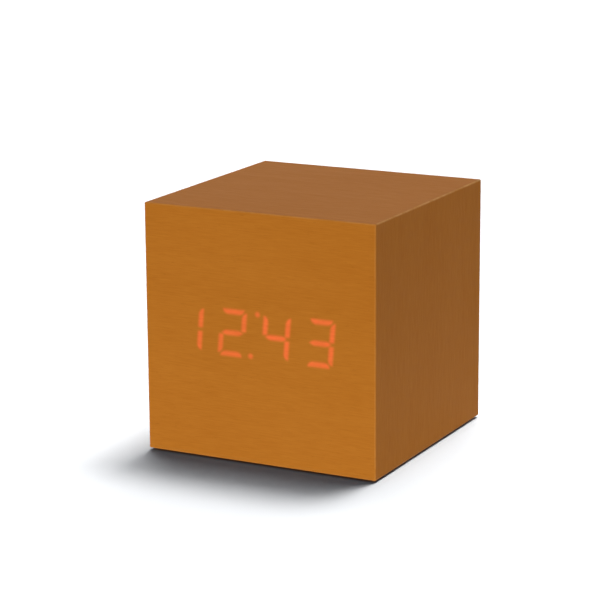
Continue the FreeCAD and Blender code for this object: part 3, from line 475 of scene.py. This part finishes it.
display_low, display_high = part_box("display_reflector")
display_middle = (display_low + display_high) / 2 * millimetres
front_foil, tree, shader, place, grain = foil_finish("lit_wood_foil")
spot = split_axes(tree, scaled(tree, place, millimetres))
up = work_out(tree, "SUBTRACT", spot[2], display_middle[2])
aside = work_out(tree, "SUBTRACT", spot[0], display_middle[0])
across = work_out(tree, "SUBTRACT", aside, work_out(tree, "MULTIPLY", up, digit_slant))
light = 0.0
for digit, letters in enumerate(shown_time):
    digit_middle = (digit - (len(shown_time) - 1) / 2) * digit_pitch
    digit_light = use_group(
        tree,
        bars,
        across=work_out(tree, "SUBTRACT", across, digit_middle),
        up=up,
        **{f"bar_{letter}": 1.0 for letter in letters},
    )["Light"]
    light = work_out(tree, "MULTIPLY_ADD", digit_light, digit_shares[digit], light)
for rise in (-row_rise, row_rise):
    dot_across = work_out(tree, "SUBTRACT", aside, rise * colon_slant)
    dot_up = work_out(tree, "SUBTRACT", up, rise)
    squares = work_out(tree, "MULTIPLY", dot_up, dot_up)
    squares = work_out(tree, "MULTIPLY_ADD", dot_across, dot_across, squares)
    outside = work_out(tree, "SUBTRACT", work_out(tree, "SQRT", squares), colon_radius)
    dot_light = fade(tree, outside, light_spread, -light_spread, 0.0, dot_share)
    light = work_out(tree, "ADD", light, dot_light)
patches = noise(tree, scaled(tree, place, patches_per_metre), 1.0)
glow = product(
    tree,
    light,
    fade(tree, patches, 0.25, 0.75, weakest_patch, 1.0),
    fade(tree, grain["Tone"], 0.2, 0.8, weakest_streak, 1.0),
)
tree.links.new(blend_colours(tree, glow, no_light, red_light), shader.inputs["Emission Color"])
shader.inputs["Emission Strength"].default_value = 1.0
dress(front_foil, "front_skin")


# Panels, glue blocks and rear board
# Raw medium-density fibreboard: fine pressed fibres.
# The five panels are mitred and glued, and the rear board is screwed to the four glue blocks.
fibre_light = (0.50, 0.36, 0.22)
fibre_dark = (0.33, 0.22, 0.125)
fibres_per_metre = 2600.0
clumps_per_metre = 350.0
fibre_share = 0.65
fibre_depth = 0.00012
board_finish, tree, shader = start_finish("raw_fibreboard", 0.9, specular=0.15)
place = add_node(tree, "ShaderNodeTexCoord").outputs["Object"]
fibres = noise(tree, scaled(tree, place, fibres_per_metre), 4.0, 0.7, 1.2)
clumps = noise(tree, scaled(tree, place, clumps_per_metre))
clump_part = work_out(tree, "MULTIPLY", clumps, 1.0 - fibre_share)
mixed = work_out(tree, "ADD", work_out(tree, "MULTIPLY", fibres, fibre_share), clump_part)
colour = blend_colours(tree, fade(tree, mixed, 0.25, 0.75), fibre_dark, fibre_light)
tree.links.new(colour, shader.inputs["Base Color"])
relief(tree, shader, fibres, fibre_depth)
dress(
    board_finish,
    "front_panel",
    "top_panel",
    "bottom_panel",
    "left_panel",
    "right_panel",
    "rear_board",
    "corner_blocks",
)


# Moulded plastic
# Black parts with the fine matt texture of a spark-eroded mould: the control plate, the battery box
# and its door, and, smoother, the plungers, the switches, the socket, the buzzer and the chip.
mottles_per_metre = 130.0
specks_per_metre = 3800.0
dust_grey = (0.42, 0.41, 0.39)
dust_share = 0.25
gloss_change = 0.07

moulding, given, made = new_group(
    "moulded_texture",
    (("Place", "NodeSocketVector"), ("Grit", "NodeSocketFloat")),
    (("Height", "NodeSocketFloat"), ("Mottle", "NodeSocketFloat"), ("Dust", "NodeSocketFloat")),
)
spread_out = add_node(
    moulding, "ShaderNodeVectorMath", {0: given["Place"], 3: given["Grit"]}, operation="SCALE"
).outputs[0]
moulding.links.new(noise(moulding, spread_out, 3.0, 0.65), made["Height"])
mottles = noise(moulding, scaled(moulding, given["Place"], mottles_per_metre), 3.0, 0.55)
moulding.links.new(mottles, made["Mottle"])
specks = noise(moulding, scaled(moulding, given["Place"], specks_per_metre), 1.0)
moulding.links.new(fade(moulding, specks, 0.71, 0.76), made["Dust"])


def plastic_finish(name, colour, paler, grit, depth, roughness):
    """Moulded plastic with its texture, slight handling marks and a few specks of dust."""
    material, tree, shader = start_finish(name)
    place = add_node(tree, "ShaderNodeTexCoord").outputs["Object"]
    surface = use_group(tree, moulding, place=place, grit=grit)
    toned = blend_colours(tree, fade(tree, surface["Mottle"], 0.3, 0.7), colour, paler)
    dusted = blend_colours(tree, product(tree, surface["Dust"], dust_share), toned, dust_grey)
    tree.links.new(dusted, shader.inputs["Base Color"])
    rough = fade(tree, surface["Mottle"], 0.3, 0.7, roughness - gloss_change, roughness + gloss_change)
    tree.links.new(rough, shader.inputs["Roughness"])
    relief(tree, shader, surface["Height"], depth)
    return material, tree, shader, place, dusted


black_plastic = plastic_finish(
    "black_moulding", (0.016, 0.016, 0.017), (0.024, 0.024, 0.025), 5200.0, 0.00004, 0.58
)[0]
dress(black_plastic, "control_plate", "battery_box", "battery_door")
smooth_black = plastic_finish(
    "smooth_black_part", (0.012, 0.012, 0.013), (0.020, 0.020, 0.021), 2600.0, 0.00001, 0.34
)[0]
dress(
    smooth_black,
    "power_socket",
    "switch_bodies",
    "set_plunger",
    "up_plunger",
    "down_plunger",
    "alarm_buzzer",
    "clock_chip",
)


# Keys
# Three satin dark grey caps with a dot, an arrow up and an arrow down sunk in their ends. The sunk
# signs are filled with pale paint.
sign_paint = (0.62, 0.62, 0.60)
paint_below = 0.0002
paint_slack = 0.00004
paint_edge = 0.00002
key_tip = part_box("set_button")[1][1]
key_finish, tree, shader, place, plain = plastic_finish(
    "key_moulding", (0.032, 0.033, 0.035), (0.045, 0.046, 0.048), 3000.0, 0.000015, 0.42
)
behind_tip = work_out(tree, "SUBTRACT", key_tip, split_axes(tree, place)[1])
facing = add_node(tree, "ShaderNodeTexCoord").outputs["Normal"]
painted = product(
    tree,
    fade(tree, behind_tip, paint_below - paint_slack, paint_below - paint_edge),
    fade(tree, behind_tip, paint_below + paint_slack, paint_below + paint_edge),
    work_out(tree, "GREATER_THAN", split_axes(tree, facing)[1], 0.9),
)
tree.links.new(blend_colours(tree, painted, plain, sign_paint), shader.inputs["Base Color"])
dress(key_finish, "set_button", "up_button", "down_button")


# Screws, contacts and springs
# Screws of zinc-plated steel, and contacts and springs of nickel-plated spring steel, with the fine
# lines of drawing and pressing and a little tarnish.
tarnish_per_metre = 700.0
lines_along = 900.0
lines_across = 6500.0
line_depth = 0.000006

plating, given, made = new_group(
    "plated_metal",
    (("Place", "NodeSocketVector"),),
    (("Tarnish", "NodeSocketFloat"), ("Lines", "NodeSocketFloat")),
)
tarnish = noise(plating, scaled(plating, given["Place"], tarnish_per_metre), 3.0, 0.6)
lines = noise(plating, scaled(plating, given["Place"], (lines_along, lines_across, lines_across)))
plating.links.new(tarnish, made["Tarnish"])
plating.links.new(lines, made["Lines"])


def metal_finish(name, colour, tarnished, smoothest, roughest):
    """Plated metal whose gloss changes with the tarnish."""
    material, tree, shader = start_finish(name, metallic=1.0)
    place = add_node(tree, "ShaderNodeTexCoord").outputs["Object"]
    surface = use_group(tree, plating, place=place)
    mixed = blend_colours(tree, fade(tree, surface["Tarnish"], 0.35, 0.75), colour, tarnished)
    tree.links.new(mixed, shader.inputs["Base Color"])
    rough = fade(tree, surface["Tarnish"], 0.3, 0.7, smoothest, roughest)
    tree.links.new(rough, shader.inputs["Roughness"])
    relief(tree, shader, surface["Lines"], line_depth)
    return material


zinc = metal_finish("zinc_plate", (0.62, 0.61, 0.58), (0.46, 0.45, 0.42), 0.24, 0.42)
nickel = metal_finish("nickel_plate", (0.68, 0.67, 0.63), (0.55, 0.53, 0.49), 0.16, 0.34)
brass = metal_finish("plated_brass", (0.72, 0.62, 0.40), (0.56, 0.46, 0.28), 0.18, 0.34)
dress(
    zinc,
    "rear_board_screws",
    "display_board_screws",
    "control_plate_screws",
    "main_board_screws",
    "battery_box_screws",
)
dress(
    nickel,
    "positive_contact",
    "negative_contact",
    "bridge_contact_left",
    "bridge_contact_right",
    "contact_springs",
    "quartz_crystal",
    "clap_microphone",
)
dress(brass, "socket_contact_pin")


# Foot pads
# Four round pads punched from dense black foam with an adhesive back.
foam_black = (0.010, 0.010, 0.011)
foam_grey = (0.030, 0.030, 0.031)
foam_cells_per_metre = 4200.0
foam_depth = 0.00008
pad_finish, tree, shader = start_finish("pad_foam", 0.95, specular=0.2)
place = add_node(tree, "ShaderNodeTexCoord").outputs["Object"]
cells = add_node(
    tree, "ShaderNodeTexVoronoi", {"Vector": place, "Scale": foam_cells_per_metre}
).outputs["Distance"]
colour = blend_colours(tree, fade(tree, cells, 0.1, 0.7), foam_black, foam_grey)
tree.links.new(colour, shader.inputs["Base Color"])
relief(tree, shader, cells, foam_depth)
dress(pad_finish, "foot_pads")


# Display
# A white moulding with a light well for every segment. Cloudy resin fills the wells, with a small
# cast lamp on the green board behind each.
haze_per_metre = 900.0
haze_depth = 0.00001
white_plastic = plastic_finish(
    "white_moulding", (0.78, 0.77, 0.74), (0.84, 0.83, 0.80), 2400.0, 0.00001, 0.5
)[0]
dress(white_plastic, "display_reflector", "display_standoffs", "ribbon_connectors")


def resin_finish(name, colour, paler, light):
    """Cloudy cast resin, with the light of its lamp if that is on."""
    material, tree, shader = start_finish(name, 0.3)
    place = add_node(tree, "ShaderNodeTexCoord").outputs["Object"]
    haze = noise(tree, scaled(tree, place, haze_per_metre), 3.0)
    cloudy = blend_colours(tree, fade(tree, haze, 0.3, 0.7), colour, paler)
    tree.links.new(cloudy, shader.inputs["Base Color"])
    shining = blend_colours(tree, fade(tree, haze, 0.2, 0.8, 0.8, 1.0), no_light, light)
    tree.links.new(shining, shader.inputs["Emission Color"])
    shader.inputs["Emission Strength"].default_value = 1.0
    relief(tree, shader, haze, haze_depth)
    return material


lit_resin = resin_finish("lit_resin", (0.75, 0.20, 0.12), (0.82, 0.28, 0.18), (0.85, 0.06, 0.03))
dark_resin = resin_finish("dark_resin", (0.66, 0.62, 0.56), (0.74, 0.70, 0.64), no_light)
lamp_resin = resin_finish("lamp_resin", (0.74, 0.68, 0.45), (0.82, 0.76, 0.55), no_light)
dress(lit_resin, "lit_segments", "colon_lenses")
dress(dark_resin, "dark_segments")
dress(lamp_resin, "segment_leds")


# Circuit boards
# Glass-fibre boards with green solder mask. Copper tracks show through the mask as slightly paler
# lines.
mask_dark = (0.008, 0.075, 0.030)
mask_light = (0.012, 0.100, 0.042)
mask_over_track = (0.03, 0.17, 0.07)
tracks_per_metre = 620.0
track_width = 0.16
track_share = 0.6
track_depth = 0.00003
weave_per_metre = 1500.0
board_mask, tree, shader = start_finish("green_solder_mask", 0.32)
place = add_node(tree, "ShaderNodeTexCoord").outputs["Object"]
tracks = add_node(
    tree,
    "ShaderNodeTexBrick",
    {
        "Vector": scaled(tree, place, (tracks_per_metre, 0.0, tracks_per_metre)),
        "Color1": (0.0, 0.0, 0.0, 1.0),
        "Color2": (0.0, 0.0, 0.0, 1.0),
        "Mortar": (1.0, 1.0, 1.0, 1.0),
        "Scale": 1.0,
        "Mortar Size": track_width,
        "Mortar Smooth": 0.3,
    },
).outputs["Fac"]
weave = noise(tree, scaled(tree, place, weave_per_metre))
mask_colour = blend_colours(tree, fade(tree, weave, 0.3, 0.7), mask_dark, mask_light)
tracked = blend_colours(tree, product(tree, tracks, track_share), mask_colour, mask_over_track)
tree.links.new(tracked, shader.inputs["Base Color"])
relief(tree, shader, tracks, track_depth)
dress(board_mask, "display_board", "main_board")


# Capacitor, leads and display cable
# The capacitor has a dark blue shrink sleeve. The leads are red and black insulated wire, and the
# display cable is a flat grey one with a red first core and painted shade in its grooves.
sleeve = plastic_finish(
    "capacitor_sleeve", (0.010, 0.016, 0.060), (0.014, 0.022, 0.080), 900.0, 0.000008, 0.22
)[0]
dress(sleeve, "supply_capacitor")

wire_grit = 1500.0
wire_depth = 0.000006
red_wire = plastic_finish(
    "red_insulation", (0.42, 0.012, 0.010), (0.50, 0.020, 0.014), wire_grit, wire_depth, 0.32
)[0]
dress(red_wire, "battery_lead_red")
black_wire = plastic_finish(
    "black_insulation", (0.010, 0.010, 0.010), (0.016, 0.016, 0.016), wire_grit, wire_depth, 0.32
)[0]
dress(black_wire, "battery_lead_black")

core_count = 12
groove_painted_shade = (0.16, 0.165, 0.175)
groove_shade_share = 0.5
first_core_red = (0.40, 0.03, 0.025)
cable_low, cable_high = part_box("display_cable")
core_pitch = (cable_high[0] - cable_low[0]) / core_count
cable_grey, tree, shader, place, grey = plastic_finish(
    "cable_grey", (0.34, 0.35, 0.37), (0.40, 0.41, 0.43), wire_grit, wire_depth, 0.42
)
across_cable = work_out(tree, "SUBTRACT", split_axes(tree, place)[0], cable_low[0])
wave = work_out(tree, "SINE", work_out(tree, "MULTIPLY", across_cable, math.pi / core_pitch))
ribs = work_out(tree, "ABSOLUTE", wave)
relief(tree, shader, ribs, core_pitch / 4)
first_core = work_out(tree, "LESS_THAN", across_cable, core_pitch)
# Painted shade: the grooves between the cores are darkened in the colour.
groove_shaded = blend_colours(tree, fade(tree, ribs, 0.35, 0.0, 0.0, groove_shade_share), grey, groove_painted_shade)
marked = blend_colours(tree, first_core, groove_shaded, first_core_red)
tree.links.new(marked, shader.inputs["Base Color"])
dress(cable_grey, "display_cable")


# Battery cells
# Three steel cans in a plain dark grey film with one pale line, shrunk over both rims. The positive
# end has a pressed cap with a nub inside a white insulating ring, the negative end a raised disc.
cell_sides = 72
rim_round = 0.00045
round_steps = 4
film_lip = 0.00060
cap_sink = 0.00025
ring_width = 0.00110
nub_height = 0.0010
nub_radius = 0.0019
nub_round = 0.00030
disc_gap = 0.00080
disc_rise = 0.00012
line_from_end = 0.0085
line_width = 0.0012
square_on = 0.9
tiny = 1e-6
chord_slack = 0.00001


def film_finish(name, colour, paler):
    """Printed film shrunk on a cell, under a thin clear lacquer."""
    material = plastic_finish(name, colour, paler, 900.0, 0.000004, 0.30)[0]
    shader = material.node_tree.nodes["Principled BSDF"]
    shader.inputs["Coat Weight"].default_value = 0.35
    shader.inputs["Coat Roughness"].default_value = 0.18
    return material


def choose_faces(piece, wanted):
    """Selects the faces whose middle and normal pass a test, in edit mode."""
    bpy.ops.mesh.select_all(action="DESELECT")
    bpy.ops.object.mode_set(mode="OBJECT")
    for polygon in piece.data.polygons:
        polygon.select = wanted(polygon.center, polygon.normal)
    bpy.ops.object.mode_set(mode="EDIT")


def choose_edges(piece, wanted):
    """Selects the edges whose two ends pass a test, in edit mode."""
    bpy.ops.mesh.select_all(action="DESELECT")
    bpy.ops.object.mode_set(mode="OBJECT")
    points = piece.data.vertices
    for edge in piece.data.edges:
        edge.select = wanted(*(points[index].co for index in edge.vertices))
    bpy.ops.object.mode_set(mode="EDIT")


def push(along, beside=0.0):
    """Extrudes the chosen faces along X, and beside it along Y."""
    bpy.ops.mesh.extrude_region_move(TRANSFORM_OT_translate={"value": (along, beside, 0.0)})


film = film_finish("cell_film", (0.055, 0.060, 0.067), (0.072, 0.078, 0.086))
ring_white = plastic_finish(
    "insulating_ring", (0.70, 0.69, 0.66), (0.76, 0.75, 0.72), 3200.0, 0.000006, 0.55
)[0]
film_line = film_finish("cell_film_line", (0.36, 0.37, 0.38), (0.42, 0.43, 0.44))

cell_low, cell_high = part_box("battery_cell_1")
can_radius = (cell_high[1] - cell_low[1]) / 2
cell_middle_y = (cell_low[1] + cell_high[1]) / 2
cell_middle_z = (cell_low[2] + cell_high[2]) / 2
can_end = cell_high[0] - nub_height
line_end = can_end - line_from_end
line_start = line_end - line_width
ring_outer = can_radius - film_lip
ring_inner = ring_outer - ring_width


def from_axis(point):
    """Distance of a point from the axis of the first cell."""
    return math.hypot(point.y - cell_middle_y, point.z - cell_middle_z)


bpy.ops.object.select_all(action="DESELECT")
bpy.ops.mesh.primitive_cylinder_add(
    vertices=cell_sides,
    radius=can_radius,
    depth=can_end - cell_low[0],
    location=((can_end + cell_low[0]) / 2, cell_middle_y, cell_middle_z),
    rotation=(0.0, math.radians(90.0), 0.0),
)
cell = bpy.context.object
cell.name = "cell_1"
bpy.ops.object.transform_apply(location=True, rotation=True, scale=True)
bpy.ops.object.mode_set(mode="EDIT")
bpy.ops.mesh.select_mode(type="FACE")
choose_faces(cell, lambda middle, normal: normal.x > square_on)
bpy.ops.mesh.inset(thickness=film_lip)
push(-cap_sink)
bpy.ops.mesh.inset(thickness=ring_width)
push(cap_sink / 2)
bpy.ops.mesh.inset(thickness=ring_inner - nub_radius)
push(nub_height + cap_sink / 2)
choose_faces(cell, lambda middle, normal: normal.x < -square_on)
bpy.ops.mesh.inset(thickness=film_lip)
push(cap_sink)
bpy.ops.mesh.inset(thickness=disc_gap)
push(-disc_rise)
bpy.ops.mesh.select_mode(type="EDGE")
choose_edges(
    cell,
    lambda first, second: abs(first.x - second.x) < tiny
    and min(from_axis(first), from_axis(second)) > can_radius * 0.99,
)
bpy.ops.mesh.bevel(offset=rim_round, segments=round_steps, affect="EDGES")
choose_edges(cell, lambda first, second: min(first.x, second.x) > cell_high[0] - tiny)
bpy.ops.mesh.bevel(offset=nub_round, segments=round_steps, affect="EDGES")
for cut in (line_end, line_start):
    bpy.ops.mesh.select_all(action="SELECT")
    bpy.ops.mesh.bisect(plane_co=(cut, 0.0, 0.0), plane_no=(1.0, 0.0, 0.0))
bpy.ops.object.mode_set(mode="OBJECT")
bpy.ops.object.shade_smooth_by_angle(angle=math.radians(35.0))
for finish in (film, nickel, ring_white, film_line):
    cell.data.materials.append(finish)
for polygon in cell.data.polygons:
    across_axis = from_axis(polygon.center)
    if across_axis < ring_inner:
        polygon.material_index = 1
    elif across_axis < ring_outer - chord_slack:
        polygon.material_index = 2 if polygon.center.x > 0.0 else 1
    elif line_start < polygon.center.x < line_end:
        polygon.material_index = 3


def place_cell(piece, node):
    """A cell that stands for its node and stays with the case."""
    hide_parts(node)
    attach(piece, "case")


def next_cell(name, node, turn, shift):
    """A copy of the first cell with its own mesh, turned about Z and moved along Y in edit mode."""
    bpy.ops.object.select_all(action="DESELECT")
    copy = cell.copy()
    copy.data = cell.data.copy()
    copy.name = name
    bpy.context.scene.collection.objects.link(copy)
    copy.select_set(True)
    bpy.context.view_layer.objects.active = copy
    bpy.ops.object.mode_set(mode="EDIT")
    bpy.ops.mesh.select_all(action="SELECT")
    middle = (0.0, cell_middle_y, cell_middle_z)
    bpy.ops.transform.rotate(value=turn, orient_axis="Z", center_override=middle)
    bpy.ops.transform.translate(value=(0.0, shift, 0.0))
    bpy.ops.object.mode_set(mode="OBJECT")
    place_cell(copy, node)


cell_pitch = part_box("battery_cell_2")[0][1] - cell_low[1]
next_cell("cell_2", "battery_cell_2", math.pi, cell_pitch)
next_cell("cell_3", "battery_cell_3", 0.0, 2 * cell_pitch)
place_cell(cell, "battery_cell_1")


# Polarity signs
# Raised plus and minus signs on the inner face of the battery door, one pair for each cell, moulded
# with the door. They show which way round the cells go.
sign_size = 0.0030
sign_bar = 0.0007
sign_rise = 0.00018
sign_slope = sign_rise / 3
sign_sink = 0.00005
sign_from_end = 0.0060
door_thick = 0.0020
door_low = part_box("battery_door")[0]
sheet_top = door_low[2] + door_thick


def raised_sign(name, x, y, plus):
    """A plus or minus sign, from one block whose sides are drawn out."""
    bpy.ops.object.select_all(action="DESELECT")
    bpy.ops.mesh.primitive_cube_add(size=1.0, location=(x, y, sheet_top + sign_slope - sign_sink / 2))
    sign = bpy.context.object
    sign.name = name
    sign.scale = (sign_bar, sign_bar, sign_slope * 2 + sign_sink)
    bpy.ops.object.transform_apply(location=True, rotation=True, scale=True)
    bpy.ops.object.mode_set(mode="EDIT")
    bpy.ops.mesh.select_mode(type="FACE")
    reach = (sign_size - sign_bar) / 2
    ways = ((1.0, 0.0), (-1.0, 0.0), (0.0, 1.0), (0.0, -1.0))
    for way_x, way_y in ways if plus else ways[:2]:
        choose_faces(
            sign,
            lambda middle, normal: normal.x * way_x + normal.y * way_y > square_on
            and abs(middle.x - x) + abs(middle.y - y) < sign_bar,
        )
        push(way_x * reach, way_y * reach)
    bpy.ops.mesh.select_all(action="SELECT")
    bpy.ops.mesh.dissolve_limited(angle_limit=math.radians(1.0))
    choose_faces(sign, lambda middle, normal: normal.z > square_on)
    bpy.ops.mesh.inset(thickness=sign_slope)
    bpy.ops.transform.translate(value=(0.0, 0.0, sign_slope))
    bpy.ops.object.mode_set(mode="OBJECT")
    sign.data.materials.append(smooth_black)
    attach(sign, "door")


for number in (1, 2, 3):
    low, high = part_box(f"battery_cell_{number}")
    towards_plus = 1.0 if high[0] + low[0] > 0.0 else -1.0
    row = (low[1] + high[1]) / 2
    reach = (high[0] - low[0]) / 2 - sign_from_end
    raised_sign(f"plus_sign_{number}", towards_plus * reach, row, True)
    raised_sign(f"minus_sign_{number}", -towards_plus * reach, row, False)
